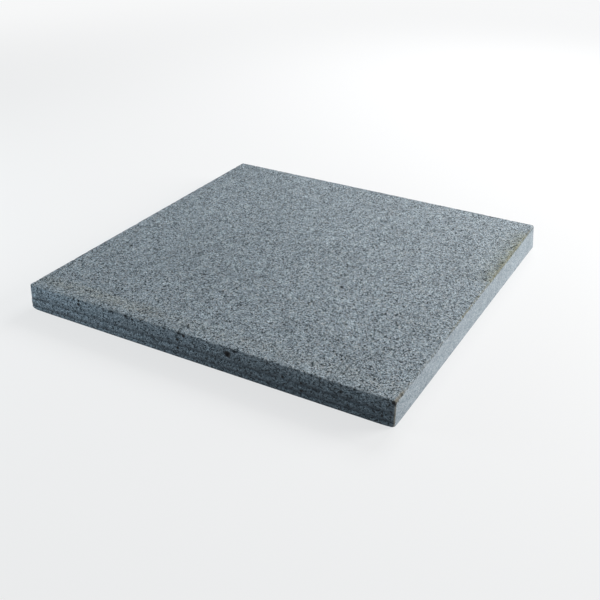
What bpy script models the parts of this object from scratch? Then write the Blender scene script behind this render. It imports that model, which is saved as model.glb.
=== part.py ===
"""Granite slab for leather tooling.

One block of sawn stone, 300 mm square, that lies flat on a bench.  The solid is lofted through
horizontal outlines: the outline draws in at the worn lower and upper arrises, and on the front it
also draws back over each saw groove, where one pass of the saw ended and the next began.  The front
and the right side are not cut quite square: each leans inwards a little on its way up.  A round pit
in the front face and a chip off one top corner are then cut out of the stone.

Metres, +Z up.  The origin is the middle of the underside, X runs along the grooved front face,
which looks towards -Y.
"""
import math

import bmesh
import bpy
from mathutils import Vector

# Driving dimensions, in metres.
SLAB_WIDTH = 0.300
SLAB_DEPTH = 0.300
SLAB_THICKNESS = 0.0204

# How far the top edge stands in from the bottom edge, at the two ends of each leaning face.
FRONT_LEAN_LEFT = 0.0014
FRONT_LEAN_RIGHT = 0.0003
RIGHT_LEAN_FRONT = 0.0
RIGHT_LEAN_BACK = 0.0020

# Radii of the four standing edges, seen from above.
FRONT_LEFT_RADIUS = 0.0010
FRONT_RIGHT_RADIUS = 0.0012
BACK_RIGHT_RADIUS = 0.0010
BACK_LEFT_RADIUS = 0.0014
CORNER_SEGMENTS = 5
# The two front corners are knocked back at the foot: the radius there, and the height it fades at.
FRONT_LEFT_FOOT_RADIUS = 0.0045
FRONT_RIGHT_FOOT_RADIUS = 0.0024
FOOT_HEIGHT = 0.0032
FOOT_SEGMENTS = 4

# The long edges above and below are worn round.
UPPER_ARRIS_RADIUS = 0.0010
LOWER_ARRIS_RADIUS = 0.0007
ARRIS_SEGMENTS = 3

# Saw grooves along the front face: their heights above the underside, how deep they are, the rise
# of the ledge under each one, and how far above it the face takes to come forward again.
SAW_GROOVE_HEIGHTS = (0.0032, 0.0091)
SAW_GROOVE_DEPTH = 0.0004
SAW_LEDGE_RISE = 0.0004
SAW_GROOVE_FADE = 0.0030

# A round pit in the front face, placed to the right of the slab's middle and down from its top.
PIT_RADIUS = 0.0018
PIT_DEPTH = 0.0012
PIT_OFFSET = 0.0266
PIT_DROP = 0.0053

# A chip off the top of the front right corner: how far it reaches along each edge.
CHIP_REACH = 0.0024
CHIP_BULGE = 0.0004

BALL_SUBDIVISIONS = 3
# Outline heights are rounded to this many digits, a hundredth of a millimetre.
HEIGHT_DIGITS = 5

STONE_COLOUR = (0.231, 0.270, 0.295, 1.0)
STONE_ROUGHNESS = 0.85


def clear_scene():
    for item in list(bpy.data.objects):
        bpy.data.objects.remove(item, do_unlink=True)


def groove_setback(height):
    """How far the saw grooves draw the front face back at this height."""
    setback = 0.0
    for groove in SAW_GROOVE_HEIGHTS:
        above = height - groove
        if -SAW_LEDGE_RISE < above <= 0.0:
            setback = SAW_GROOVE_DEPTH * (1.0 + above / SAW_LEDGE_RISE)
        elif 0.0 < above < SAW_GROOVE_FADE:
            setback = SAW_GROOVE_DEPTH * (1.0 - above / SAW_GROOVE_FADE)
    return setback


def front_setback(height, across):
    """How far the front stands back from the full depth, across from 0 at the left to 1."""
    lean = FRONT_LEAN_LEFT + (FRONT_LEAN_RIGHT - FRONT_LEAN_LEFT) * across
    return lean * height / SLAB_THICKNESS + groove_setback(height)


def arris_inset(radius, from_face):
    """How far a rounded edge draws the outline in, this far from the flat face it borders."""
    rest = max(radius - from_face, 0.0)
    return radius - math.sqrt(radius * radius - rest * rest)


def knocked_radius(radius, foot_radius, height):
    """A standing edge's radius at this height, larger towards its foot."""
    share = max(1.0 - height / FOOT_HEIGHT, 0.0)
    return radius + (foot_radius - radius) * share * share


def outline_heights():
    """The heights at which the loft has an outline, from the underside to the top."""
    rounding = [1.0 - math.cos(0.5 * math.pi * i / ARRIS_SEGMENTS) for i in range(ARRIS_SEGMENTS + 1)]
    heights = [LOWER_ARRIS_RADIUS * share for share in rounding]
    heights += [SLAB_THICKNESS - UPPER_ARRIS_RADIUS * share for share in rounding]
    heights += [FOOT_HEIGHT * i / FOOT_SEGMENTS for i in range(2, FOOT_SEGMENTS + 1)]
    for groove in SAW_GROOVE_HEIGHTS:
        heights += [groove - SAW_LEDGE_RISE, groove, groove + SAW_GROOVE_FADE]
    # Heights that coincide would make faces of no area.
    return sorted({round(height, HEIGHT_DIGITS) for height in heights})


def outline(height):
    """The slab's outline at one height, anticlockwise seen from above."""
    lower = arris_inset(LOWER_ARRIS_RADIUS, height)
    upper = arris_inset(UPPER_ARRIS_RADIUS, SLAB_THICKNESS - height)
    inset = max(lower, upper)
    climb = height / SLAB_THICKNESS
    left = 0.5 * SLAB_WIDTH - inset
    back = 0.5 * SLAB_DEPTH - inset
    corners = (
        (-left, front_setback(height, 0.0) - back, 180.0,
         knocked_radius(FRONT_LEFT_RADIUS, FRONT_LEFT_FOOT_RADIUS, height)),
        (left - RIGHT_LEAN_FRONT * climb, front_setback(height, 1.0) - back, 270.0,
         knocked_radius(FRONT_RIGHT_RADIUS, FRONT_RIGHT_FOOT_RADIUS, height)),
        (left - RIGHT_LEAN_BACK * climb, back, 0.0, BACK_RIGHT_RADIUS),
        (-left, back, 90.0, BACK_LEFT_RADIUS),
    )
    points = []
    for x, y, start, full_radius in corners:
        # A worn arris stays rounder at the corner than an even offset would leave it.
        radius = full_radius - 0.5 * inset
        centre_x = x - math.copysign(radius, x)
        centre_y = y - math.copysign(radius, y)
        for i in range(CORNER_SEGMENTS + 1):
            angle = math.radians(start + 90.0 * i / CORNER_SEGMENTS)
            points.append((centre_x + radius * math.cos(angle), centre_y + radius * math.sin(angle), height))
    return points


def stone_material():
    material = bpy.data.materials.new("stone")
    material.use_nodes = True
    shader = material.node_tree.nodes["Principled BSDF"]
    shader.inputs["Base Color"].default_value = STONE_COLOUR
    shader.inputs["Roughness"].default_value = STONE_ROUGHNESS
    shader.inputs["Metallic"].default_value = 0.0
    return material


def lofted_slab(name):
    """The slab as a loft: one ring of vertices for each outline, and a flat cap at each end."""
    shape = bmesh.new()
    rings = [[shape.verts.new(point) for point in outline(height)] for height in outline_heights()]
    for below, above in zip(rings, rings[1:]):
        for i in range(len(below)):
            j = (i + 1) % len(below)
            shape.faces.new((below[i], below[j], above[j], above[i]))
    shape.faces.new(list(reversed(rings[0])))
    shape.faces.new(rings[-1])
    mesh = bpy.data.meshes.new(name)
    shape.to_mesh(mesh)
    shape.free()
    slab = bpy.data.objects.new(name, mesh)
    bpy.context.scene.collection.objects.link(slab)
    return slab


def ball_cutter(name, radius, centre):
    """A ball that a Boolean modifier takes away from the slab."""
    shape = bmesh.new()
    bmesh.ops.create_icosphere(shape, subdivisions=BALL_SUBDIVISIONS, radius=radius)
    mesh = bpy.data.meshes.new(name)
    shape.to_mesh(mesh)
    shape.free()
    cutter = bpy.data.objects.new(name, mesh)
    cutter.location = centre
    cutter.hide_render = True
    cutter.display_type = "WIRE"
    bpy.context.scene.collection.objects.link(cutter)
    return cutter


def cut(target, cutter):
    boolean = target.modifiers.new(cutter.name, "BOOLEAN")
    boolean.operation = "DIFFERENCE"
    boolean.solver = "EXACT"
    boolean.object = cutter


def pit_cutter():
    """A ball that meets the front face in a circle of the pit's radius, at the pit's depth."""
    ball = (PIT_RADIUS ** 2 + PIT_DEPTH ** 2) / (2.0 * PIT_DEPTH)
    height = SLAB_THICKNESS - PIT_DROP
    face = -0.5 * SLAB_DEPTH + front_setback(height, 0.5 + PIT_OFFSET / SLAB_WIDTH)
    centre = Vector((PIT_OFFSET, face + PIT_DEPTH - ball, height))
    return ball_cutter("pit_cutter", ball, centre)


def chip_cutter():
    """A ball over the top front right corner that passes through the chip's reach on each edge."""
    corner = Vector((0.5 * SLAB_WIDTH - RIGHT_LEAN_FRONT,
                     -0.5 * SLAB_DEPTH + front_setback(SLAB_THICKNESS, 1.0),
                     SLAB_THICKNESS))
    outward = Vector((1.0, -1.0, 1.0)).normalized()
    # The chip's three ends lie on a circle around the corner's diagonal, at this depth below it.
    depth = CHIP_REACH / math.sqrt(3.0)
    circle = CHIP_REACH * math.sqrt(2.0 / 3.0)
    ball = (circle ** 2 + CHIP_BULGE ** 2) / (2.0 * CHIP_BULGE)
    centre = corner + outward * (ball - CHIP_BULGE - depth)
    return ball_cutter("chip_cutter", ball, centre)


def build():
    clear_scene()
    slab = lofted_slab("slab")
    slab.data.materials.append(stone_material())
    slab.data.shade_smooth()
    slab.data.set_sharp_from_angle(angle=math.radians(40.0))
    cut(slab, pit_cutter())
    cut(slab, chip_cutter())


build()
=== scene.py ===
"""Looks of the granite slab: a worn, saw-marked stone on a pale studio floor.

The stone is one mesh.  It starts as a sharp box, made of rings of points round its sides and of
grids above and below, which is refined where small features lie.  Its corners and long edges are
then worn round, saw grooves are drawn into its front and back, two faces are leaned in, and chips
and pits are scooped out of it.  Lengths are in metres, in the frame of the CAD model: X runs along
the front, which looks towards -Y, and +Z is up.
"""

import math

import bmesh
import bpy
import numpy as np
from mathutils import Matrix, Vector, noise


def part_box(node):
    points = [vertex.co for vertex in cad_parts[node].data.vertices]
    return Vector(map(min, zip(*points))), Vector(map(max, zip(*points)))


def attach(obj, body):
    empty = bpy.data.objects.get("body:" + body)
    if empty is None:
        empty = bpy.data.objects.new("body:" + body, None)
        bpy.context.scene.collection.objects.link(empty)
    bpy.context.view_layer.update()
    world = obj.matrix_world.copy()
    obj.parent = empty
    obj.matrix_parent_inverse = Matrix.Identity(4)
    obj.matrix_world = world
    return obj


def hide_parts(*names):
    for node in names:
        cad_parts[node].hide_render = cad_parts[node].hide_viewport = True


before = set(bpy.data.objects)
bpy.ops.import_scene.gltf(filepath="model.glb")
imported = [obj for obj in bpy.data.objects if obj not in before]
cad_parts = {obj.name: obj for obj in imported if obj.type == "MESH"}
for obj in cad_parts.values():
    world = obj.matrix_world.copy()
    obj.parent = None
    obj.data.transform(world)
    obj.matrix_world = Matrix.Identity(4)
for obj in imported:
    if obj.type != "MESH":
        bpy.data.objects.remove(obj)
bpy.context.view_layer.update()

MM = 0.001
SEED = 7

# ---------------------------------------------------------------- the slab's sizes
LOW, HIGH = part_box("slab")
WIDTH, DEPTH, THICKNESS = HIGH.x - LOW.x, HIGH.y - LOW.y, HIGH.z - LOW.z
HALF_WIDTH, HALF_DEPTH = 0.5 * WIDTH, 0.5 * DEPTH

# How far the top edge stands in from the bottom edge, at the two ends of each leaning face.
FRONT_LEAN_LEFT, FRONT_LEAN_RIGHT = 1.4 * MM, 0.3 * MM
RIGHT_LEAN_BACK = 2.0 * MM

# Standing edges: (side of X, side of Y) to the radius seen from above, and the radius at the foot.
STANDING_RADII = {
    (-1, -1): (1.0 * MM, 4.5 * MM),
    (1, -1): (0.9 * MM, 2.4 * MM),
    (1, 1): (0.9 * MM, 1.4 * MM),
    (-1, 1): (1.4 * MM, 2.0 * MM),
}
FOOT_HEIGHT = 3.2 * MM
# The lower edge is rounder close to the two front corners.
LOWER_ARRIS, KNOCKED_ARRIS, KNOCKED_REACH = 0.6 * MM, 2.0 * MM, 4.0 * MM

# The upper edge, how far the front's is worn down towards its left end, and the right one.
UPPER_ARRIS = 0.8 * MM
WORN_ARRIS, WORN_START, WORN_REACH = 3.2 * MM, 8 * MM, 70 * MM
RIGHT_ARRIS = 1.3 * MM
# How far in from the front and the right side their own radii hold.
FRONT_ARRIS_BAND, RIGHT_ARRIS_BAND = 6 * MM, 3 * MM
# The upper edges' unevenness: its share of the radius, and the size of its waves.
ARRIS_SWING, ARRIS_WAVE = 0.25, 9 * MM

# Saw grooves: mean heights, climb over the slab's width, depth, the rise of the ledge under each
# one, and how far above it the face takes to come forward again.
GROOVE_HEIGHTS = (3.3 * MM, 9.3 * MM)
GROOVE_CLIMB = 1.1 * MM
GROOVE_DEPTH = 0.45 * MM
LEDGE_RISE = 0.45 * MM
GROOVE_FADE = 1.9 * MM
BACK_GROOVE_SHARE = 0.6
# A groove wanders in waves: their height, their length for each radian, and the phase, in
# radians, that a metre of height adds.
GROOVE_WAVES = ((0.10 * MM, 17 * MM, 900), (0.06 * MM, 6.1 * MM, 300))
# The grooves die out this far in from the face.
GROOVE_DRAW = 6 * MM
# The rows of the sides follow the grooves in full from this far above the foot and below the top.
ROW_TILT_FOOT, ROW_TILT_TOP = 2.0 * MM, 8.0 * MM

# Uneven faces: broad and fine waves, and how deep each kind of face sinks in them, in millimetres.
# The sawn faces are the roughest, and the top is flat but not polished.
BROAD_WAVE, FINE_WAVE, FINE_OFFSET, WAVE_OCTAVES = 45 * MM, 3.2 * MM, 11.3, 3
BROAD_SINK, SAWN_BROAD_SINK = 0.04, 0.06
TOP_FINE_SINK, SAWN_FINE_SINK, CUT_FINE_SINK = 0.03, 0.14, 0.02

# ---------------------------------------------------------------- the mesh's layout
FINE_COUNT = 300
TOP_EVERY = 2
UNDERSIDE_EVERY = 4
EDGE_SHARE = 0.45
EDGE_REACH = 14 * MM
# The rows of the sides stand closer together by the two edges and the two saw grooves.
SIDE_ROWS = [share * THICKNESS for share in (
    0.0, 0.012, 0.030, 0.055, 0.092, 0.125, 0.147, 0.162, 0.185, 0.25, 0.34, 0.405, 0.430, 0.447,
    0.475, 0.54, 0.63, 0.73, 0.82, 0.88, 0.92, 0.948, 0.970, 0.986, 1.0)]
TOP_INSETS = [d * MM for d in (0.3, 0.65, 1.1, 1.7, 2.5, 3.6)]
UNDERSIDE_INSETS = [d * MM for d in (0.3, 0.8, 2.0)]
# The seen arrises are refined within this band.  Round a pit, edges longer than PIT_STEP of its
# mouth are split in each of a few rounds, out to PIT_SHARE of the mouth and a margin.
ARRIS_BAND = 2.6 * MM
PIT_SHARE, PIT_MARGIN, PIT_STEP, PIT_ROUNDS = 1.8, 0.8 * MM, 0.3, 3
# How near to straight, in radians, a face's corner counts as lying in a row.
STRAIGHT = 0.01


def smooth(t):
    """0 below 0, 1 above 1, and a smooth climb between."""
    t = np.clip(t, 0.0, 1.0)
    return t * t * (3.0 - 2.0 * t)


def fade(distance, reach):
    """1 at no distance, falling away over the reach."""
    return np.exp(-np.maximum(distance, 0.0) / reach)


def hump(value, start, end, slope):
    """1 between start and end, falling to 0 over the slope outside them."""
    return smooth((value - start) / slope + 1.0) * smooth((end - value) / slope + 1.0)


def stations(half):
    """Places along one side, from -half to half, closer together towards both ends."""
    middle = (np.arange(FINE_COUNT) + 0.5) / FINE_COUNT
    from_end = 2.0 * half * np.minimum(middle, 1.0 - middle)
    step = 1.0 - (1.0 - EDGE_SHARE) * fade(from_end, EDGE_REACH)
    places = np.concatenate([[0.0], np.cumsum(step)])
    return (2.0 * places / places[-1] - 1.0) * half


class BoxMesh:
    """A sharp box as vertices, faces and one UV pair for each face corner."""

    # Where each face lies in the UV square: left, bottom, width and height.
    TOP_MAP = (0.002, 0.002, 0.716, 0.716)
    UNDERSIDE_MAP = (0.724, 0.002, 0.272, 0.272)
    SIDE_MAPS = [(0.002, 0.724 + 0.068 * k, 0.716, 0.062) for k in range(4)]

    def __init__(self):
        self.points = []
        self.faces = []
        self.uvs = []
        self.along_x = stations(HALF_WIDTH)
        self.along_y = stations(HALF_DEPTH)

    def ring(self, height, inset):
        """Adds a rectangle of points, anticlockwise from the front left corner."""
        x = self.along_x * (HALF_WIDTH - inset) / HALF_WIDTH
        y = self.along_y * (HALF_DEPTH - inset) / HALF_DEPTH
        first = len(self.points)
        self.points += [(a, y[0], height) for a in x[:-1]]
        self.points += [(x[-1], b, height) for b in y[:-1]]
        self.points += [(a, y[-1], height) for a in x[:0:-1]]
        self.points += [(x[0], b, height) for b in y[:0:-1]]
        return list(range(first, len(self.points)))

    def add_face(self, corners, pairs):
        self.faces.append(corners)
        self.uvs += pairs

    def plan_uv(self, index, area):
        x, y, _ = self.points[index]
        left, bottom, width, height = area
        u = left + width * (0.5 + 0.5 * x / HALF_WIDTH)
        return u, bottom + height * (0.5 + 0.5 * y / HALF_DEPTH)

    def side_uv(self, step, height, area):
        left, bottom, width, tall = area
        return left + width * step / FINE_COUNT, bottom + tall * height / THICKNESS

    def join_side(self, lower, upper):
        """Quads between two rings of the sides."""
        low, high = self.points[lower[0]][2], self.points[upper[0]][2]
        for m in range(len(lower)):
            n = (m + 1) % len(lower)
            area = self.SIDE_MAPS[m // FINE_COUNT]
            step = m % FINE_COUNT
            self.add_face(
                (lower[m], lower[n], upper[n], upper[m]),
                [self.side_uv(step, low, area), self.side_uv(step + 1, low, area),
                 self.side_uv(step + 1, high, area), self.side_uv(step, high, area)])

    def join_flat(self, outer, inner, area, upward):
        """Quads between two rings that lie in one plane."""
        for m in range(len(outer)):
            n = (m + 1) % len(outer)
            corners = (outer[m], outer[n], inner[n], inner[m])
            if not upward:
                corners = corners[::-1]
            self.add_face(corners, [self.plan_uv(i, area) for i in corners])

    def fill(self, border, height, inset, every, area, upward):
        """A grid inside a ring, whose squares span this many of the ring's steps."""
        count = FINE_COUNT // every
        x = self.along_x[::every] * (HALF_WIDTH - inset) / HALF_WIDTH
        y = self.along_y[::every] * (HALF_DEPTH - inset) / HALF_DEPTH
        inner = {}
        for i in range(1, count):
            for j in range(1, count):
                inner[i, j] = len(self.points)
                self.points.append((x[i], y[j], height))
        total = len(border)

        def corner(i, j):
            if j == 0:
                return border[every * i]
            if i == count:
                return border[FINE_COUNT + every * j]
            if j == count:
                return border[3 * FINE_COUNT - every * i]
            if i == 0:
                return border[(total - every * j) % total]
            return inner[i, j]

        def between(start):
            return [border[(start + k) % total] for k in range(1, every)]

        for i in range(count):
            for j in range(count):
                loop = [corner(i, j)]
                loop += between(every * i) if j == 0 else []
                loop.append(corner(i + 1, j))
                loop += between(FINE_COUNT + every * j) if i == count - 1 else []
                loop.append(corner(i + 1, j + 1))
                loop += between(3 * FINE_COUNT - every * (i + 1)) if j == count - 1 else []
                loop.append(corner(i, j + 1))
                loop += between(total - every * (j + 1)) if i == 0 else []
                if not upward:
                    loop = loop[::-1]
                self.add_face(tuple(loop), [self.plan_uv(k, area) for k in loop])

    def build(self):
        sides = [self.ring(height, 0.0) for height in SIDE_ROWS]
        for lower, upper in zip(sides, sides[1:]):
            self.join_side(lower, upper)
        caps = ((sides[-1], THICKNESS, TOP_INSETS, TOP_EVERY, self.TOP_MAP, True),
                (sides[0], 0.0, UNDERSIDE_INSETS, UNDERSIDE_EVERY, self.UNDERSIDE_MAP, False))
        for outer, height, insets, every, area, upward in caps:
            for inset in insets:
                inner = self.ring(height, inset)
                self.join_flat(outer, inner, area, upward)
                outer = inner
            self.fill(outer, height, insets[-1], every, area, upward)
        mesh = bpy.data.meshes.new("granite_slab")
        mesh.from_pydata(self.points, [], self.faces)
        layer = mesh.uv_layers.new(name="OFBake")
        layer.data.foreach_set("uv", np.array(self.uvs, np.float32).ravel())
        return mesh


# ---------------------------------------------------------------- the worn shape
def lean_move(points):
    """How far the two leaning faces, and the stone between them, move at each point."""
    x, y, z = points.T
    climb = np.clip(z / THICKNESS, 0.0, 1.0)
    across, towards_back = 0.5 + x / WIDTH, 0.5 + y / DEPTH
    front_lean = FRONT_LEAN_LEFT + (FRONT_LEAN_RIGHT - FRONT_LEAN_LEFT) * across
    move = np.zeros_like(points)
    move[:, 0] = -RIGHT_LEAN_BACK * towards_back * across * climb
    move[:, 1] = front_lean * (1.0 - towards_back) * climb
    return move


def groove_height(mean, x):
    """The height of a saw groove along the front, which climbs a little and wanders."""
    height = mean + GROOVE_CLIMB * x / WIDTH
    for size, length, shift in GROOVE_WAVES:
        height = height + size * np.sin(x / length + mean * shift)
    return height


def groove_profile(x, z):
    """How far a sawn face stands back over its grooves."""
    back = np.zeros_like(x)
    for mean in GROOVE_HEIGHTS:
        above = z - groove_height(mean, x)
        back += GROOVE_DEPTH * smooth(above / LEDGE_RISE + 1.0) * fade(above, GROOVE_FADE)
    return back


def follow_grooves(base):
    """Tilts the rows of the sides so that they run along the climbing saw grooves."""
    z = base[:, 2]
    share = smooth(z / ROW_TILT_FOOT) * smooth((THICKNESS - z) / ROW_TILT_TOP)
    on_side = (z > 0) & (z < THICKNESS)
    base[:, 2] = z + np.where(on_side, share * GROOVE_CLIMB * base[:, 0] / WIDTH, 0.0)


def upper_arris_radius(base):
    """The upper edges' radius, which is larger on the right and on the front towards the left."""
    front = smooth(1.0 - (base[:, 1] + HALF_DEPTH) / FRONT_ARRIS_BAND)
    from_left = base[:, 0] + HALF_WIDTH
    worn = smooth(from_left / WORN_START) * fade(from_left - WORN_START, WORN_REACH)
    right = smooth(1.0 - (HALF_WIDTH - base[:, 0]) / RIGHT_ARRIS_BAND) * (1.0 - front)
    radius = UPPER_ARRIS + (WORN_ARRIS - UPPER_ARRIS) * front * worn
    radius += (RIGHT_ARRIS - UPPER_ARRIS) * right
    return radius * (1.0 + ARRIS_SWING * fractal(base, ARRIS_WAVE, 2))


def lower_arris_radius(base):
    """The lower edges' radius, which is larger close to the two front corners."""
    to_corner = np.hypot(HALF_WIDTH - np.abs(base[:, 0]), base[:, 1] + HALF_DEPTH)
    return LOWER_ARRIS + (KNOCKED_ARRIS - LOWER_ARRIS) * fade(to_corner, KNOCKED_REACH)


def round_off(base):
    """Wears the sharp box round.  Returns the new places."""
    x, y, z = base[:, 0].copy(), base[:, 1].copy(), base[:, 2].copy()
    inset = np.minimum(HALF_WIDTH - np.abs(x), HALF_DEPTH - np.abs(y))
    to_x = HALF_WIDTH - np.abs(x) <= HALF_DEPTH - np.abs(y)
    outward = np.stack([np.where(to_x, np.sign(x), 0.0), np.where(to_x, 0.0, np.sign(y))], 1)
    for (side_x, side_y), (plain_radius, foot_radius) in STANDING_RADII.items():
        foot = np.clip(1.0 - z / FOOT_HEIGHT, 0.0, 1.0) ** 2
        radius = plain_radius + (foot_radius - plain_radius) * foot
        across = side_x * x - (HALF_WIDTH - radius)
        along = side_y * y - (HALF_DEPTH - radius)
        here = (across > 0) & (along > 0)
        length = np.hypot(across[here], along[here])
        scale = np.maximum(across[here], along[here]) / length
        outward[here] = np.stack([side_x * across[here] / length, side_y * along[here] / length], 1)
        x[here] = side_x * (HALF_WIDTH - radius[here] + across[here] * scale)
        y[here] = side_y * (HALF_DEPTH - radius[here] + along[here] * scale)
    ends = ((upper_arris_radius(base), THICKNESS - base[:, 2], True),
            (lower_arris_radius(base), base[:, 2], False))
    for radius, depth, upper in ends:
        a, b = radius - inset, radius - depth
        here = (a > 0) & (b > 0)
        scale = np.maximum(a[here], b[here]) / np.hypot(a[here], b[here])
        move = inset[here] - (radius[here] - a[here] * scale)
        new_depth = radius[here] - b[here] * scale
        x[here] += outward[here, 0] * move
        y[here] += outward[here, 1] * move
        z[here] = THICKNESS - new_depth if upper else new_depth
    return np.stack([x, y, z], 1)


# ---------------------------------------------------------------- chips and pits
def on_face(x, y, z):
    """The place on the finished face of a point given on the sharp box."""
    point = np.array([[x, y, z]])
    moved = point + lean_move(point)
    if y == -HALF_DEPTH:
        moved[0, 1] += groove_profile(point[:, 0], point[:, 2])[0]
    return moved[0]


def face_pit(at, outward, mouth, depth):
    """A round pit whose mouth, on the face, has this radius."""
    radius = (mouth * mouth + depth * depth) / (2.0 * depth)
    centre = at + np.array(outward) * (radius - depth)
    return {"centre": centre, "radius": radius, "mouth": mouth, "at": at, "kind": "pit",
            "outward": np.array(outward)}


def arris_chip(at, outward, reach, bulge):
    """A flake off an edge: a ball that cuts both faces at this distance from the edge."""
    outward = np.array(outward) / np.linalg.norm(outward)
    half = reach / math.sqrt(2.0)
    radius = (half * half + bulge * bulge) / (2.0 * bulge)
    centre = at + outward * (radius - bulge - half)
    return {"centre": centre, "radius": radius, "mouth": reach, "at": at, "kind": "chip"}


# Pits that stand out, in millimetres: place across and along or up the face, mouth radius, depth.
TOP_PITS = ((-126.0, -58.8, 1.0, 0.6), (-46.0, -70.4, 0.8, 0.5), (55.2, -35.2, 1.0, 0.6),
            (-107.0, -136.0, 0.7, 0.4), (-59.0, -106.0, 0.65, 0.4))
FRONT_PITS = ((27.1, 15.3, 1.9, 1.4), (-103.0, 16.4, 0.9, 0.6), (-102.6, 19.2, 0.75, 0.5),
              (-53.4, 18.4, 0.7, 0.4), (-9.0, 18.3, 1.0, 0.6), (-14.2, 14.0, 0.9, 0.6),
              (-14.2, 7.4, 0.9, 0.6), (69.7, 11.5, 0.8, 0.5), (83.5, 11.2, 0.8, 0.5),
              (83.7, 5.4, 0.8, 0.5), (112.3, 14.6, 0.8, 0.5), (148.3, 19.0, 1.1, 0.6))
# Chips off the front's upper edge, in millimetres: place, reach, bulge.
FRONT_CHIPS = ((-79.5, 1.3, 0.25), (-71.3, 1.5, 0.3), (-58.6, 1.9, 0.35), (-25.4, 1.6, 0.3),
               (-12.2, 2.0, 0.4), (-1.7, 1.3, 0.25), (26.9, 1.2, 0.25), (33.0, 1.8, 0.4),
               (66.0, 1.2, 0.2), (91.0, 1.2, 0.25), (122.0, 1.3, 0.25))
# Flakes along the right upper edge near the front corner: distance from the corner, reach, bulge.
CORNER_CHIPS = ((2.2, 1.9, 0.3), (5.0, 1.6, 0.25), (8.6, 1.9, 0.35), (12.5, 1.3, 0.2))
CORNER_CHIP_OUTWARD = (1, 0, 1.2)
# The chip off the front right upper corner itself.
TIP_OUTWARD, TIP_REACH, TIP_BULGE = (0.5, -1.0, 0.8), 2.8 * MM, 0.55 * MM
# Random flakes on each upper edge: how many, how far along it, the least and greatest reach in
# millimetres, and the bulge as a share of the reach.
RANDOM_CHIPS = 16
RANDOM_ALONG = 0.97
RANDOM_REACH = (0.7, 1.3)
RANDOM_BULGE = 0.2
# Pits and chips are marked out to this many times their mouth, with an edge this soft.
MARK_REACH, MARK_EDGE = 1.45, 0.35
# How much the distance along a pit's own direction counts in the search for its nearest point.
SETTLE_WEIGHT = 0.2


def placed_scoops():
    """The pits and chips that stand out on the real stone."""
    found = []
    for x, y, mouth, depth in TOP_PITS:
        at = on_face(x * MM, y * MM, THICKNESS)
        found.append(face_pit(at, (0, 0, 1), mouth * MM, depth * MM))
    for x, z, mouth, depth in FRONT_PITS:
        at = on_face(x * MM, -HALF_DEPTH, z * MM)
        found.append(face_pit(at, (0, -1, 0), mouth * MM, depth * MM))
    for x, reach, bulge in FRONT_CHIPS:
        at = on_face(x * MM, -HALF_DEPTH, THICKNESS)
        found.append(arris_chip(at, (0, -1, 1), reach * MM, bulge * MM))
    for from_corner, reach, bulge in CORNER_CHIPS:
        at = on_face(HALF_WIDTH, -HALF_DEPTH + from_corner * MM, THICKNESS)
        found.append(arris_chip(at, CORNER_CHIP_OUTWARD, reach * MM, bulge * MM))
    corner = on_face(HALF_WIDTH, -HALF_DEPTH, THICKNESS)
    found.append(arris_chip(corner, TIP_OUTWARD, TIP_REACH, TIP_BULGE))
    return found


def random_scoops(rng):
    """Small flakes scattered along the four upper edges."""
    found = []
    for x_side, y_side in ((0, -1), (1, 0), (0, 1), (-1, 0)):
        for _ in range(RANDOM_CHIPS):
            along = rng.uniform(-RANDOM_ALONG, RANDOM_ALONG)
            reach = rng.uniform(*RANDOM_REACH) * MM
            x = x_side * HALF_WIDTH if x_side else along * HALF_WIDTH
            y = along * HALF_DEPTH if x_side else y_side * HALF_DEPTH
            at = on_face(x, y, THICKNESS)
            found.append(arris_chip(at, (x_side, y_side, 1.0), reach, RANDOM_BULGE * reach))
    return found


def settle(places, pit):
    """Moves a pit along its own direction until its mouth lies on the worn surface."""
    away = places - pit["at"]
    out = away @ pit["outward"]
    sideways = np.linalg.norm(away - out[:, None] * pit["outward"], axis=1)
    nearest = np.argmin(sideways + SETTLE_WEIGHT * np.abs(out))
    shift = out[nearest] * pit["outward"]
    pit["at"] = pit["at"] + shift
    pit["centre"] = pit["centre"] + shift


def scoop_out(places, item):
    """Pushes the points inside a ball out to its far side, which leaves a hollow."""
    away = places - item["centre"]
    distance = np.linalg.norm(away, axis=1)
    inside = distance < item["radius"]
    places[inside] = item["centre"] + away[inside] * (item["radius"] / distance[inside])[:, None]


def hollow_mask(places, scoops, kind):
    """1 in the mouths of the scoops of this kind, and 0 away from them."""
    mask = np.zeros(len(places))
    for item in scoops:
        if item["kind"] == kind:
            distance = np.linalg.norm(places - item["at"], axis=1)
            mark = smooth((MARK_REACH - distance / item["mouth"]) / MARK_EDGE)
            mask = np.maximum(mask, mark)
    return mask


# ---------------------------------------------------------------- mesh helpers
def near_seen_arris(p):
    """Whether a place on the sharp box lies by the upper front or right edge, or between them."""
    front, right, top = p.y + HALF_DEPTH, HALF_WIDTH - p.x, THICKNESS - p.z
    by_upper_edge = top < ARRIS_BAND and min(front, right) < ARRIS_BAND
    return by_upper_edge or max(front, right) < ARRIS_BAND


def coarse_edges(shape, pit):
    """The edges round a pit that are still too long to show it."""
    at = Vector(pit["at"])
    reach = PIT_SHARE * pit["mouth"] + PIT_MARGIN
    return [e for e in shape.edges
            if ((e.verts[0].co + e.verts[1].co) * 0.5 - at).length < reach
            and e.calc_length() > PIT_STEP * pit["mouth"]]


def split(shape, edges):
    """Halves these edges, and divides the faces beside them to match."""
    if edges:
        bmesh.ops.subdivide_edges(shape, edges=edges, cuts=1, use_grid_fill=True)


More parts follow.
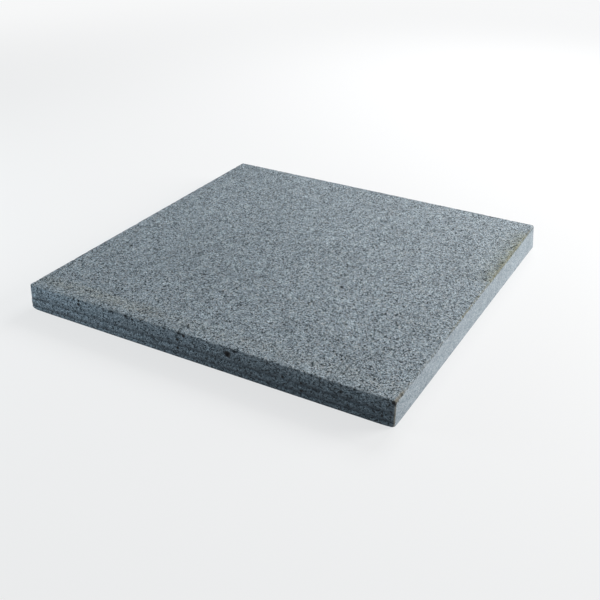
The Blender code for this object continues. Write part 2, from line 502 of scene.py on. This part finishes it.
def refine(mesh, scoops):
    """Splits the edges near the sharpest features, where one step is too coarse."""
    shape = bmesh.new()
    shape.from_mesh(mesh)
    split(shape, [e for e in shape.edges if all(near_seen_arris(v.co) for v in e.verts)])
    for item in scoops:
        if item["kind"] == "pit":
            for _ in range(PIT_ROUNDS):
                split(shape, coarse_edges(shape, item))
    # A face with corners in a straight row becomes a fan, because two such neighbours could each
    # be split along the same row, and the mesh would no longer be closed.
    uneven = [f for f in shape.faces if len(f.verts) > 4
              or any(abs(loop.calc_angle() - math.pi) < STRAIGHT for loop in f.loops)]
    bmesh.ops.poke(shape, faces=uneven)
    shape.to_mesh(mesh)
    shape.free()


def fractal(points, size, octaves, offset=0.0):
    """Smooth noise of about -1 to 1, whose largest blobs are this size."""
    shifted = points / size + offset
    return np.array([noise.fractal(Vector(p), 0.9, 2.0, octaves) for p in shifted])


def points_of(mesh):
    found = np.empty(len(mesh.vertices) * 3, np.float32)
    mesh.vertices.foreach_get("co", found)
    return found.reshape(-1, 3).astype(float)


def set_points(mesh, places):
    mesh.vertices.foreach_set("co", places.astype(np.float32).ravel())
    mesh.update()


def normals_of(mesh):
    found = np.empty(len(mesh.vertices) * 3, np.float32)
    mesh.vertex_normals.foreach_get("vector", found)
    return found.reshape(-1, 3).astype(float)


def add_attribute(mesh, name, values):
    layer = mesh.attributes.new(name, "FLOAT", "POINT")
    layer.data.foreach_set("value", np.clip(values, 0.0, 1.0).astype(np.float32))


# ---------------------------------------------------------------- where each finish lies
# The sawn finishes of front and back reach this far in from their faces.
SAWN_EDGE = 1.0 * MM
# The smooth cut finish starts this far below the top, over a slope, and stays by its faces.
CUT_BELOW, CUT_SLOPE, CUT_EDGE = 1.8 * MM, 0.8 * MM, 0.6 * MM
# Points nearer than this to the plane of the top or the underside are not on a side.
ON_PLANE = 1e-6
# The pale brow: its reach down the front, its strength everywhere, and what the left adds to it.
BROW_REACH, BROW_PLAIN, BROW_LEFT, BROW_LEFT_REACH = 5.5 * MM, 0.55, 0.45, 80 * MM
# Painted shade along the foot: strength, height and fade.  Painted shade and grime in the grooves:
# height, fades up and down.
FOOT_SHADE, FOOT_SHADE_HEIGHT, FOOT_SHADE_FADE = 0.8, 0.5 * MM, 0.7 * MM
GROOVE_SHADE_HEIGHT, GROOVE_SHADE_FADE_UP, GROOVE_SHADE_FADE_DOWN = 0.5 * MM, 1.1 * MM, 0.2 * MM
# How much of the front's painted shade and grime the back gets.
BACK_SHADE_AND_GRIME_SHARE = 0.6
# Stains on the top, each as the start, end and slope of a band.
WARM_FROM_FRONT, WARM_ALONG_X = (10 * MM, 16 * MM, 6 * MM), (-125 * MM, -60 * MM, 30 * MM)
WARM_PLAIN, WARM_SWING = 0.35, 0.65
OLIVE_ALONG_Y, OLIVE_START, OLIVE_FADE = (40 * MM, 118 * MM, 22 * MM), 1 * MM, 6.5 * MM
RUST_ALONG_Y, RUST_START, RUST_FADE = (-45 * MM, 130 * MM, 14 * MM), 0.4 * MM, 0.4 * MM
RUST_PLAIN, RUST_SWING = 0.15, 0.85
STAIN_DEPTH, RUST_DEPTH = 3 * MM, 1.3 * MM
# The vein across the top: its ends, how far and in what waves it bends, its width, the fade past
# its ends, and how far down from the top it shows.
VEIN_START, VEIN_END = np.array([-78 * MM, -101 * MM]), np.array([72 * MM, -48 * MM])
VEIN_BEND, VEIN_WAVE, VEIN_PHASE = 1.6 * MM, 24 * MM, 1.0
VEIN_WIDTH, VEIN_ENDS, VEIN_DEPTH = 1.3 * MM, 12 * MM, 1 * MM
# Painted highlight and wear along the upper edges, and wear along the standing edge and the broken
# corner: where each starts to fade, and over what reach.
UPPER_HIGHLIGHT_AND_WEAR, UPPER_HIGHLIGHT_AND_WEAR_FADE = 0.3 * MM, 0.5 * MM
STANDING_WEAR, STANDING_WEAR_FADE = 0.3 * MM, 0.45 * MM
BROKEN_WEAR, BROKEN_WEAR_FADE = 0.8 * MM, 0.7 * MM
BROKEN_LENGTH, BROKEN_SLOPE = 17 * MM, 5 * MM
# The shaded band down the right upper edge: depth, slope, and reach inwards in slopes.
SHADED_DEPTH, SHADED_SLOPE, SHADED_INWARDS = 2.3 * MM, 0.8 * MM, 1.5


def face_masks(base):
    """How far each point belongs to the sawn faces, front and back, and to the smooth cut ones."""
    x, y, z = base.T
    on_side = (z > ON_PLANE) & (z < THICKNESS - ON_PLANE)
    front = on_side * smooth(1.0 - (y + HALF_DEPTH) / SAWN_EDGE)
    back = on_side * smooth(1.0 - (HALF_DEPTH - y) / SAWN_EDGE)
    below_arris = smooth((THICKNESS - CUT_BELOW - z) / CUT_SLOPE)
    cut = below_arris * smooth(1.0 - (HALF_WIDTH - np.abs(x)) / CUT_EDGE)
    return front, back, cut * (1.0 - front) * (1.0 - back)


def brow_mask(base):
    """The paler stone just under the front's upper edge, most of all where that edge is worn."""
    from_left = base[:, 0] + HALF_WIDTH
    strength = BROW_PLAIN + BROW_LEFT * fade(from_left, BROW_LEFT_REACH)
    return fade(THICKNESS - base[:, 2], BROW_REACH) * strength


def groove_and_foot_shade_and_grime(base):
    """Painted shade and grime in the saw grooves, just over each ledge, and painted shade along the
    foot.
    """
    x, _, z = base.T
    shade_and_grime = FOOT_SHADE * fade(z - FOOT_SHADE_HEIGHT, FOOT_SHADE_FADE)
    for mean in GROOVE_HEIGHTS:
        above = z - groove_height(mean, x)
        upwards = fade(above - GROOVE_SHADE_HEIGHT, GROOVE_SHADE_FADE_UP)
        shade_and_grime += np.where(above > 0, upwards, fade(-above, GROOVE_SHADE_FADE_DOWN))
    return shade_and_grime


def stain_masks(base):
    """Warm tint behind the front edge, an olive stain by the right edge, and its rusty line."""
    x, y, z = base.T
    on_top = z > THICKNESS - STAIN_DEPTH
    from_front, from_right = y + HALF_DEPTH, HALF_WIDTH - x
    warm = hump(from_front, *WARM_FROM_FRONT)
    warm *= WARM_PLAIN + WARM_SWING * hump(x, *WARM_ALONG_X)
    olive = hump(y, *OLIVE_ALONG_Y) * fade(from_right - OLIVE_START, OLIVE_FADE)
    rust = RUST_PLAIN + RUST_SWING * hump(y, *RUST_ALONG_Y)
    rust *= fade(from_right - RUST_START, RUST_FADE)
    return warm * on_top, olive * on_top, rust * (z > THICKNESS - RUST_DEPTH)


def vein_mask(base):
    """A faint pale vein that crosses the top at a slant."""
    length = np.linalg.norm(VEIN_END - VEIN_START)
    slant = (VEIN_END - VEIN_START) / length
    from_start = base[:, :2] - VEIN_START
    along = from_start @ slant
    across = from_start @ np.array([-slant[1], slant[0]])
    across += VEIN_BEND * np.sin(along / VEIN_WAVE + VEIN_PHASE)
    on_top = base[:, 2] > THICKNESS - VEIN_DEPTH
    return hump(along, 0.0, length, VEIN_ENDS) * np.exp(-(across / VEIN_WIDTH) ** 2) * on_top


def edge_masks(base):
    """The upper edges, with their painted highlight and wear, the darker band along the right one,
    the standing edge between the front and the smooth right side, and the broken stretch of the
    right upper edge beside it."""
    x, y, z = base.T
    inset = np.minimum(HALF_WIDTH - np.abs(x), HALF_DEPTH - np.abs(y))
    upper = fade(inset + THICKNESS - z - UPPER_HIGHLIGHT_AND_WEAR, UPPER_HIGHLIGHT_AND_WEAR_FADE)
    from_right, from_front = HALF_WIDTH - x, y + HALF_DEPTH
    standing = fade(np.hypot(from_right, from_front) - STANDING_WEAR, STANDING_WEAR_FADE)
    broken = fade(from_right + THICKNESS - z - BROKEN_WEAR, BROKEN_WEAR_FADE)
    broken *= smooth((BROKEN_LENGTH - from_front) / BROKEN_SLOPE)
    near_top = smooth((SHADED_DEPTH - (THICKNESS - z)) / SHADED_SLOPE)
    shaded = near_top * smooth(SHADED_INWARDS - from_right / SHADED_SLOPE)
    return upper, shaded, standing, broken


def finish_masks(base, places, placed, faces):
    """Every mask that the material reads, by name."""
    front, back, cut = faces
    warm, olive, rust = stain_masks(base)
    upper_edge_highlight_and_wear, shaded_edge, standing_edge, broken_corner = edge_masks(base)
    return {
        "front": front, "back": back, "cut": cut, "brow": brow_mask(base),
        "shade_and_grime": groove_and_foot_shade_and_grime(base) * (front + BACK_SHADE_AND_GRIME_SHARE * back),
        "warm": warm, "olive": olive, "rust": rust, "vein": vein_mask(base),
        "upper_edge_highlight_and_wear": upper_edge_highlight_and_wear, "shaded_edge": shaded_edge, "standing_edge": standing_edge,
        "broken_corner": broken_corner,
        "pit": hollow_mask(places, placed, "pit"), "chip": hollow_mask(places, placed, "chip"),
    }


# ---------------------------------------------------------------- the whole mesh
def draw_grooves(places, base):
    """Draws the saw grooves into the front and, less deeply, into the back."""
    x, y, z = base.T
    grooves = groove_profile(x, z)
    places[:, 1] += grooves * smooth(1.0 - (y + HALF_DEPTH) / GROOVE_DRAW)
    places[:, 1] -= BACK_GROOVE_SHARE * grooves * smooth(1.0 - (HALF_DEPTH - y) / GROOVE_DRAW)


def roughen(places, base, normals, faces):
    """Sinks each face unevenly into the stone."""
    front, back, cut = faces
    broad = 0.5 + 0.5 * fractal(base, BROAD_WAVE, WAVE_OCTAVES)
    fine = 0.5 + 0.5 * fractal(base, FINE_WAVE, WAVE_OCTAVES, offset=FINE_OFFSET)
    on_top = smooth(normals[:, 2])
    sawn = np.maximum(front, back)
    sink = (BROAD_SINK + SAWN_BROAD_SINK * sawn) * MM * broad
    sink += (TOP_FINE_SINK * on_top + SAWN_FINE_SINK * sawn + CUT_FINE_SINK * cut) * MM * fine
    places -= normals * np.clip(sink, 0.0, None)[:, None]


def stone_mesh():
    rng = np.random.default_rng(SEED)
    placed, scattered = placed_scoops(), random_scoops(rng)
    mesh = BoxMesh().build()
    refine(mesh, placed)
    base = points_of(mesh)
    follow_grooves(base)
    faces = face_masks(base)

    places = round_off(base)
    draw_grooves(places, base)
    places += lean_move(base)
    set_points(mesh, places)
    roughen(places, base, normals_of(mesh), faces)
    for item in placed + scattered:
        if item["kind"] == "pit":
            settle(places, item)
        scoop_out(places, item)
    places = np.clip(places, np.array(LOW), np.array(HIGH))
    set_points(mesh, places)

    for name, values in finish_masks(base, places, placed, faces).items():
        add_attribute(mesh, name, values)
    mesh.shade_smooth()
    return mesh


# ---------------------------------------------------------------- the stone's material
class Graph:
    """Short calls for building a node tree."""

    def __init__(self, name):
        self.material = bpy.data.materials.new(name)
        self.material.use_nodes = True
        self.tree = self.material.node_tree
        self.tree.nodes.clear()

    def put(self, socket, value):
        if isinstance(value, bpy.types.NodeSocket):
            self.tree.links.new(value, socket)
        else:
            socket.default_value = value

    def node(self, kind, settings=(), **inputs):
        made = self.tree.nodes.new("ShaderNode" + kind)
        for name, value in dict(settings).items():
            setattr(made, name, value)
        for name, value in inputs.items():
            self.put(made.inputs[name.replace("_", " ")], value)
        return made

    def math(self, operation, a, b=0.0):
        made = self.node("Math", {"operation": operation})
        self.put(made.inputs[0], a)
        self.put(made.inputs[1], b)
        return made.outputs[0]

    def times(self, *factors):
        product = factors[0]
        for factor in factors[1:]:
            product = self.math("MULTIPLY", product, factor)
        return product

    def vector(self, operation, a, b):
        made = self.node("VectorMath", {"operation": operation})
        self.put(made.inputs[0], a)
        self.put(made.inputs[1], b)
        return made.outputs[0]

    def attribute(self, name):
        return self.node("Attribute", {"attribute_name": name}).outputs["Fac"]

    def spread(self, value, low, high, to_low=0.0, to_high=1.0):
        """Maps low..high to to_low..to_high, smoothly and clamped."""
        made = self.node("MapRange", {"interpolation_type": "SMOOTHSTEP"})
        for socket, number in zip(made.inputs[:5], (value, low, high, to_low, to_high)):
            self.put(socket, number)
        return made.outputs[0]

    def mix(self, share, a, b, blend="MIX"):
        made = self.node("Mix", {"data_type": "RGBA", "blend_type": blend})
        self.put(made.inputs[0], share)
        self.put(made.inputs[6], a)
        self.put(made.inputs[7], b)
        return made.outputs[2]

    def between(self, share, a, b):
        """A number that goes from a to b as the share goes from 0 to 1."""
        made = self.node("Mix", {"data_type": "FLOAT"})
        self.put(made.inputs[0], share)
        self.put(made.inputs[2], a)
        self.put(made.inputs[3], b)
        return made.outputs[0]

    def ramp(self, value, stops):
        """A curve through (place, height) stops, as a number."""
        made = self.node("ValToRGB")
        ramp = made.color_ramp
        while len(ramp.elements) < len(stops):
            ramp.elements.new(0.5)
        for element, (place, grey) in zip(ramp.elements, stops):
            element.position = place
            element.color = (grey, grey, grey, 1.0)
        self.put(made.inputs[0], value)
        return made.outputs[0]

    def noise(self, where, size, detail=2.0, roughness=0.5):
        return self.node("TexNoise", {"noise_dimensions": "3D"}, Vector=where, Scale=1.0 / size,
                         Detail=detail, Roughness=roughness).outputs[0]

    def pattern(self, where, size, detail, roughness, low, high, to_low, to_high):
        """Noise of this size, whose values from low to high become to_low to to_high."""
        return self.spread(self.noise(where, size, detail, roughness), low, high, to_low, to_high)

    def crystals(self, where, size):
        """Voronoi cells of this size: two random numbers for each, and the way to its seed."""
        made = self.node("TexVoronoi", {"feature": "F1"}, Vector=where, Scale=1.0 / size)
        parts = self.node("SeparateColor")
        self.put(parts.inputs[0], made.outputs["Color"])
        return parts.outputs[0], parts.outputs[1], made.outputs["Distance"]


STONE = (0.238, 0.285, 0.320, 1.0)
WARM_CRYSTAL = (0.285, 0.280, 0.262, 1.0)
# The front's colours at its left and right ends: partly darker stone, partly painted shade.
FRONT_STONE_AND_SHADE = (0.115, 0.161, 0.200, 1.0)
FRONT_RIGHT_STONE_AND_SHADE = (0.042, 0.066, 0.086, 1.0)
BACK_STONE = (0.185, 0.222, 0.250, 1.0)
CUT_STONE = (0.268, 0.306, 0.338, 1.0)
# Black for the mica specks, and also the painted shade in the chips on the front and at the broken
# corner.
BLACK_MICA_AND_CHIP_SHADE = (0.007, 0.014, 0.020, 1.0)
# What the darkest and the palest crystals are multiplied by.
COOL_SHADE = (0.84, 1.00, 1.07, 1.0)
PLAIN_LIGHT = (1.03, 1.00, 0.985, 1.0)
# Painted shade and grime for the saw grooves, and painted shade for the front's foot.
GROOVE_SHADE_AND_GRIME = (0.022, 0.031, 0.041, 1.0)
# Painted shade for the pits, near black.
PIT_SHADE = (0.007, 0.009, 0.011, 1.0)
WARM_TINT = (0.262, 0.262, 0.222, 1.0)
OLIVE_TINT = (0.165, 0.172, 0.105, 1.0)
RUST_TINT = (0.130, 0.124, 0.068, 1.0)
# A painted highlight along the upper edges, partly pale wear.
PALE_HIGHLIGHT_AND_WEAR = (0.370, 0.410, 0.430, 1.0)
TAN_WEAR = (0.330, 0.302, 0.240, 1.0)

# Crystals: their sizes, how far and in what blobs their borders bend, and the (share, factor)
# stops that say how dark or pale they are.
COARSE_CRYSTAL, SMALL_CRYSTAL = 0.92 * MM, 0.50 * MM
BEND_SIZE, BEND_REACH = 1.1 * MM, 0.7 * MM
COARSE_SHADES = ((0.0, 0.14), (0.10, 0.42), (0.28, 0.90), (0.70, 1.15), (1.0, 1.42))
SMALL_SHADES = ((0.0, 0.30), (0.25, 0.80), (0.75, 1.18), (1.0, 1.60))
# Crystals are warm where their random number is above this, and take this much of the warm colour.
WARM_ABOVE, WARM_SHARE = 0.82, 0.45
# How strongly the crystals show, plain and on the smooth cut faces, and the darkest they get.
CRYSTAL_CONTRAST, CUT_CONTRAST, DARKEST = 1.42, 0.46, 0.08
# The tint goes from cool to plain between these crystal factors, and the roughness between others.
TINT_RANGE = (0.1, 1.5)
ROUGHNESS_RANGE, ROUGHNESS_ENDS = (0.5, 1.5), (0.85, 0.62)
SPECULAR = 0.35
BUMP_STRENGTH, BUMP_DISTANCE, CUT_BUMP = 0.5, 0.12 * MM, 0.2
# Mica: its spacing, the solid and the outer radius of a speck as shares of that, the share of
# places that hold one, plain and on the front, and how strongly they show, plain and on cut faces.
MICA_SPACING, MICA_SPECK = 3.4 * MM, (0.14, 0.23)
MICA_CHANCE, FRONT_MICA_CHANCE = 0.36, 0.80
MICA_SHARE, CUT_MICA_SHARE = 0.85, 0.08
# Patterns: size, detail and roughness of the noise, the values taken from it, and those given.
STAIN = (5 * MM, 3.0, 0.7, 0.35, 0.65, 0.35, 1.0)
STREAK = (0.9 * MM, 2.0, 0.6, 0.3, 0.7, 0.82, 1.18)
MOTTLE = (9 * MM, 3.0, 0.6, 0.25, 0.75, 0.90, 1.10)
CLOUD = (60 * MM, 2.0, 0.5, 0.3, 0.7, 0.96, 1.04)
PATCHY = (2.5 * MM, 3.0, 0.7, 0.3, 0.7, 0.25, 0.9)
SHADE_AND_GRIME_PATCHES = (2.0 * MM, 3.0, 0.7, 0.3, 0.7, 0.50, 0.90)
LIT_AND_WORN = (3 * MM, 2.0, 0.5, 0.4, 0.6, 0.0, 0.35)
BROKEN = (1.6 * MM, 2.0, 0.5, 0.38, 0.60, 0.1, 1.0)
# Streaks are drawn out along the faces by this scale.
LENGTHWISE = (0.22, 0.22, 1.0)
# The front goes from its plain colour to its right-hand colour, darker with painted shade, between
# these places, in half widths from the middle.
FRONT_SHADE_START, FRONT_SHADE_FULL = -0.8, 0.6
# How much of the front's colour, with its painted shade, shows, plain and under the upper edge.
FRONT_SHARE, BROW_SHARE = 0.95, 0.60
# What the vein and the shaded edge multiply the stone by.
VEIN_LIGHT, SHADED_LIGHT = 1.16, 0.80
# How strongly the stains, the wear and the painted shade in the chips show.
WARM_STAIN, OLIVE_STAIN, RUST_STAIN = 0.45, 0.9, 0.8
STANDING_TAN = 0.6
CHIP_DARK, CORNER_CHIP_DARK = 0.75, 0.3


def grain_of(g, bent):
    """The crystals as a factor of about 1 on the stone's colour, and which of them are warm."""
    coarse, hue, _ = g.crystals(bent, COARSE_CRYSTAL)
    small, _, _ = g.crystals(bent, SMALL_CRYSTAL)
    factor = g.times(g.ramp(coarse, COARSE_SHADES), g.ramp(small, SMALL_SHADES))
    return factor, g.math("GREATER_THAN", hue, WARM_ABOVE)


def mica_of(g, bent, mask):
    """Black specks of mica: sparse, but more of them on the front, and faint on the cut faces."""
    chosen, _, distance = g.crystals(bent, MICA_SPACING)
    speck = g.spread(distance, *MICA_SPECK, 1.0, 0.0)
    chance = g.between(mask["front"], MICA_CHANCE, FRONT_MICA_CHANCE)
    speck = g.times(speck, g.math("LESS_THAN", chosen, chance))
    return g.times(speck, g.between(mask["cut"], MICA_SHARE, CUT_MICA_SHARE))


def bent_place(g, where):
    """The place, moved about a little, so that the crystals' borders aren't straight."""
    wobble = g.node("TexNoise", {}, Vector=where, Scale=1.0 / BEND_SIZE, Detail=1.0)
    shift = g.vector("SUBTRACT", wobble.outputs["Color"], (0.5, 0.5, 0.5))
    return g.vector("ADD", where, g.vector("MULTIPLY", shift, (BEND_REACH,) * 3))


def body_colour(g, where, mask, warm_hue):
    """The colour of each face and the stains on the top, before crystals.  The front's colour is
    partly darker stone and partly painted shade, which deepens towards the right.
    """
    colour = g.mix(g.times(warm_hue, WARM_SHARE), STONE, WARM_CRYSTAL)
    stain = g.pattern(where, *STAIN)
    colour = g.mix(g.times(mask["warm"], stain, WARM_STAIN), colour, WARM_TINT)
    colour = g.mix(g.times(mask["olive"], stain, OLIVE_STAIN), colour, OLIVE_TINT)
    colour = g.mix(mask["cut"], colour, CUT_STONE)
    colour = g.mix(mask["back"], colour, BACK_STONE)
    axes = g.node("SeparateXYZ", {}, Vector=where)
    # The front darkens towards the right with painted shade.
    to_right = g.spread(axes.outputs[0], FRONT_SHADE_START * HALF_WIDTH, FRONT_SHADE_FULL * HALF_WIDTH)
    front_colour_and_shade = g.mix(to_right, FRONT_STONE_AND_SHADE, FRONT_RIGHT_STONE_AND_SHADE)
    front_share = g.times(mask["front"], g.between(mask["brow"], FRONT_SHARE, BROW_SHARE))
    return g.mix(front_share, colour, front_colour_and_shade)


def crystal_contrast(g, grain, mask):
    """The crystals' factor, stretched about 1.  They show least on the smooth cut faces."""
    contrast = g.between(mask["cut"], CRYSTAL_CONTRAST, CUT_CONTRAST)
    grain = g.math("ADD", g.times(g.math("SUBTRACT", grain, 1.0), contrast), 1.0)
    return g.math("MAXIMUM", grain, DARKEST)


def lightness_of(g, where, lengthwise, grain, mask):
    """The grey factor on the body colour: crystals, streaks, mottles, clouds, vein and shade."""
    sawn = g.math("MAXIMUM", mask["front"], mask["back"])
    streak = g.between(sawn, 1.0, g.pattern(lengthwise, *STREAK))
    return g.times(grain, streak, g.pattern(where, *MOTTLE), g.pattern(where, *CLOUD),
                   g.between(mask["vein"], 1.0, VEIN_LIGHT),
                   g.between(mask["shaded_edge"], 1.0, SHADED_LIGHT))


def weathering_and_painted_light(g, where, lengthwise, colour, mask):
    """Adds painted shade and grime in the grooves and painted shade along the foot, rust, a painted
    highlight with pale wear along the upper edges, wear along the standing edge and the broken
    corner, and painted shade in the chips and pits.
    """
    patchy, shade_and_grime_patches = g.pattern(where, *PATCHY), g.pattern(lengthwise, *SHADE_AND_GRIME_PATCHES)
    # Painted shade and grime in the grooves, painted shade along the foot.
    colour = g.mix(g.times(mask["shade_and_grime"], shade_and_grime_patches), colour, GROOVE_SHADE_AND_GRIME)
    # A painted highlight, partly pale wear, along the upper edges.
    colour = g.mix(g.times(mask["upper_edge_highlight_and_wear"], g.pattern(where, *LIT_AND_WORN)), colour, PALE_HIGHLIGHT_AND_WEAR)
    rust = g.times(mask["rust"], g.pattern(where, *BROKEN), RUST_STAIN)
    colour = g.mix(rust, colour, RUST_TINT)
    colour = g.mix(g.times(mask["standing_edge"], STANDING_TAN), colour, TAN_WEAR)
    colour = g.mix(g.times(mask["broken_corner"], patchy), colour, TAN_WEAR)
    # Painted shade in the chips on the front and at the broken corner.
    corner = g.times(mask["broken_corner"], CORNER_CHIP_DARK)
    dark = g.times(mask["chip"], g.math("MAXIMUM", mask["front"], corner), CHIP_DARK)
    colour = g.mix(dark, colour, BLACK_MICA_AND_CHIP_SHADE)
    # Painted shade in the pits.
    return g.mix(mask["pit"], colour, PIT_SHADE)


def stone_material():
    g = Graph("granite")
    where = g.node("TexCoord").outputs["Object"]
    bent = bent_place(g, where)
    lengthwise = g.vector("MULTIPLY", where, LENGTHWISE)
    mask = {name: g.attribute(name) for name in (
        "front", "back", "cut", "brow", "shade_and_grime", "warm", "olive", "rust", "vein", "upper_edge_highlight_and_wear",
        "shaded_edge", "standing_edge", "broken_corner", "pit", "chip")}

    grain, warm_hue = grain_of(g, bent)
    grain = crystal_contrast(g, grain, mask)
    lightness = lightness_of(g, where, lengthwise, grain, mask)
    colour = g.mix(1.0, body_colour(g, where, mask, warm_hue), lightness, "MULTIPLY")
    tint = g.mix(g.spread(grain, *TINT_RANGE), COOL_SHADE, PLAIN_LIGHT)
    colour = g.mix(1.0, colour, tint, "MULTIPLY")
    colour = g.mix(mica_of(g, bent, mask), colour, BLACK_MICA_AND_CHIP_SHADE)
    colour = weathering_and_painted_light(g, where, lengthwise, colour, mask)

    shader = g.node("BsdfPrincipled")
    g.put(shader.inputs["Base Color"], colour)
    g.put(shader.inputs["Roughness"], g.spread(grain, *ROUGHNESS_RANGE, *ROUGHNESS_ENDS))
    shader.inputs["Specular IOR Level"].default_value = SPECULAR
    height = g.times(lightness, g.between(mask["cut"], 1.0, CUT_BUMP))
    bump = g.node("Bump", {}, Height=height, Strength=BUMP_STRENGTH, Distance=BUMP_DISTANCE)
    g.put(shader.inputs["Normal"], bump.outputs[0])
    out = g.node("OutputMaterial")
    g.put(out.inputs[0], shader.outputs[0])
    return g.material


def build_stone():
    stone = bpy.data.objects.new("granite_slab", stone_mesh())
    bpy.context.scene.collection.objects.link(stone)
    stone.data.materials.append(stone_material())
    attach(stone, "root")
    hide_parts("slab")


# ---------------------------------------------------------------- studio and camera
FLOOR_RADIUS = 12.0
FLOOR_GAP = 0.02 * MM
FLOOR_COLOUR = (0.92, 0.92, 0.92, 1.0)
FLOOR_ROUGHNESS, FLOOR_SPECULAR = 0.9, 0.1
# The share of the floor's light that is its own glow, which keeps the shadows pale.
FLOOR_GLOW = 0.72
# The floor turns into the backdrop's even white between these distances from the slab's centre.
BACKDROP_START, BACKDROP_FULL = 0.55, 1.20
BACKDROP_COLOUR = (0.93, 0.935, 0.94, 1.0)


def stage_object(name, mesh, material):
    mesh.materials.append(material)
    item = bpy.data.objects.new(name, mesh)
    bpy.context.scene.collection.objects.link(item)
    return item


def floor_material():
    g = Graph("floor")
    paper = g.node("BsdfPrincipled")
    paper.inputs["Base Color"].default_value = FLOOR_COLOUR
    paper.inputs["Roughness"].default_value = FLOOR_ROUGHNESS
    paper.inputs["Specular IOR Level"].default_value = FLOOR_SPECULAR
    glow = g.node("Emission", {}, Color=BACKDROP_COLOUR)
    distance = g.node("VectorMath", {"operation": "LENGTH"})
    g.put(distance.inputs[0], g.node("TexCoord").outputs["Object"])
    share = g.spread(distance.outputs["Value"], BACKDROP_START, BACKDROP_FULL, FLOOR_GLOW, 1.0)
    both = g.node("MixShader")
    for socket, value in zip(both.inputs, (share, paper.outputs[0], glow.outputs[0])):
        g.put(socket, value)
    out = g.node("OutputMaterial")
    g.put(out.inputs[0], both.outputs[0])
    return g.material


def build_floor():
    shape = bmesh.new()
    bmesh.ops.create_circle(shape, cap_ends=True, segments=96, radius=FLOOR_RADIUS)
    mesh = bpy.data.meshes.new("floor")
    shape.to_mesh(mesh)
    shape.free()
    floor = stage_object("floor", mesh, floor_material())
    floor.location.z = LOW.z - FLOOR_GAP


def build_backdrop():
    """An even white dome that only the camera sees, so that it lights nothing."""
    g = Graph("backdrop")
    glow = g.node("Emission", {}, Color=BACKDROP_COLOUR)
    out = g.node("OutputMaterial")
    g.put(out.inputs[0], glow.outputs[0])
    shape = bmesh.new()
    bmesh.ops.create_uvsphere(shape, u_segments=64, v_segments=32, radius=FLOOR_RADIUS)
    mesh = bpy.data.meshes.new("backdrop")
    shape.to_mesh(mesh)
    shape.free()
    dome = stage_object("backdrop", mesh, g.material)
    for kind in ("diffuse", "glossy", "transmission", "volume_scatter", "shadow"):
        setattr(dome, "visible_" + kind, False)


# Soft boxes: name, azimuth, elevation, distance, width, height, power, colour.  Azimuth 0 is in
# front of the slab, and 90 to its right.
LIGHTS = (
    ("key", 123.0, 21.0, 1.0, 0.5, 0.55, 9.15, (1.0, 0.985, 0.96)),
    ("rear", 180.0, 35.0, 1.1, 0.5, 0.4, 6.7, (1.0, 1.0, 1.0)),
    ("fill", -62.0, 9.0, 0.7, 0.3, 0.25, 2.3, (0.84, 0.95, 1.0)),
)
WORLD_COLOUR = (0.88, 0.95, 1.0, 1.0)
WORLD_STRENGTH = 0.25


def direction(azimuth, elevation):
    a, e = math.radians(azimuth), math.radians(elevation)
    return Vector((math.sin(a) * math.cos(e), -math.cos(a) * math.cos(e), math.sin(e)))


def build_lights():
    for name, azimuth, elevation, distance, width, height, power, colour in LIGHTS:
        lamp = bpy.data.lights.new(name, "AREA")
        lamp.shape = "RECTANGLE"
        lamp.size, lamp.size_y = width, height
        lamp.energy = power
        lamp.color = colour
        item = bpy.data.objects.new(name, lamp)
        towards = direction(azimuth, elevation)
        item.location = towards * distance
        item.rotation_mode = "QUATERNION"
        item.rotation_quaternion = (-towards).to_track_quat("-Z", "Y")
        item.visible_camera = False
        bpy.context.scene.collection.objects.link(item)
    world = bpy.data.worlds.new("studio")
    world.use_nodes = True
    background = world.node_tree.nodes["Background"]
    background.inputs["Color"].default_value = WORLD_COLOUR
    background.inputs["Strength"].default_value = WORLD_STRENGTH
    bpy.context.scene.world = world


# The camera: where it stands, how it leans, its lens and sensor in millimetres, and its range.
CAMERA_AZIMUTH = 28.78
CAMERA_ELEVATION = 29.18
CAMERA_ROLL = 0.68
CAMERA_DISTANCE = 0.7328
CAMERA_DROP = 0.0200
CAMERA_LENS = 53.75
CAMERA_SENSOR = 36.0
CAMERA_NEAR, CAMERA_FAR = 0.01, 100.0


def build_camera():
    camera = bpy.data.cameras.new("camera")
    camera.sensor_width = CAMERA_SENSOR
    camera.lens = CAMERA_LENS
    camera.clip_start, camera.clip_end = CAMERA_NEAR, CAMERA_FAR
    item = bpy.data.objects.new("camera", camera)
    back = direction(CAMERA_AZIMUTH, CAMERA_ELEVATION)
    right = Vector((0, 0, 1)).cross(back).normalized()
    up = back.cross(right)
    item.location = back * CAMERA_DISTANCE - up * CAMERA_DROP
    upright = Matrix((right, up, back)).transposed()
    item.rotation_mode = "QUATERNION"
    roll = Matrix.Rotation(math.radians(CAMERA_ROLL), 3, "Z")
    item.rotation_quaternion = (upright @ roll).to_quaternion()
    bpy.context.scene.collection.objects.link(item)
    bpy.context.scene.camera = item


build_stone()
build_floor()
build_backdrop()
build_lights()
build_camera()
bpy.context.scene.view_settings.view_transform = "Standard"
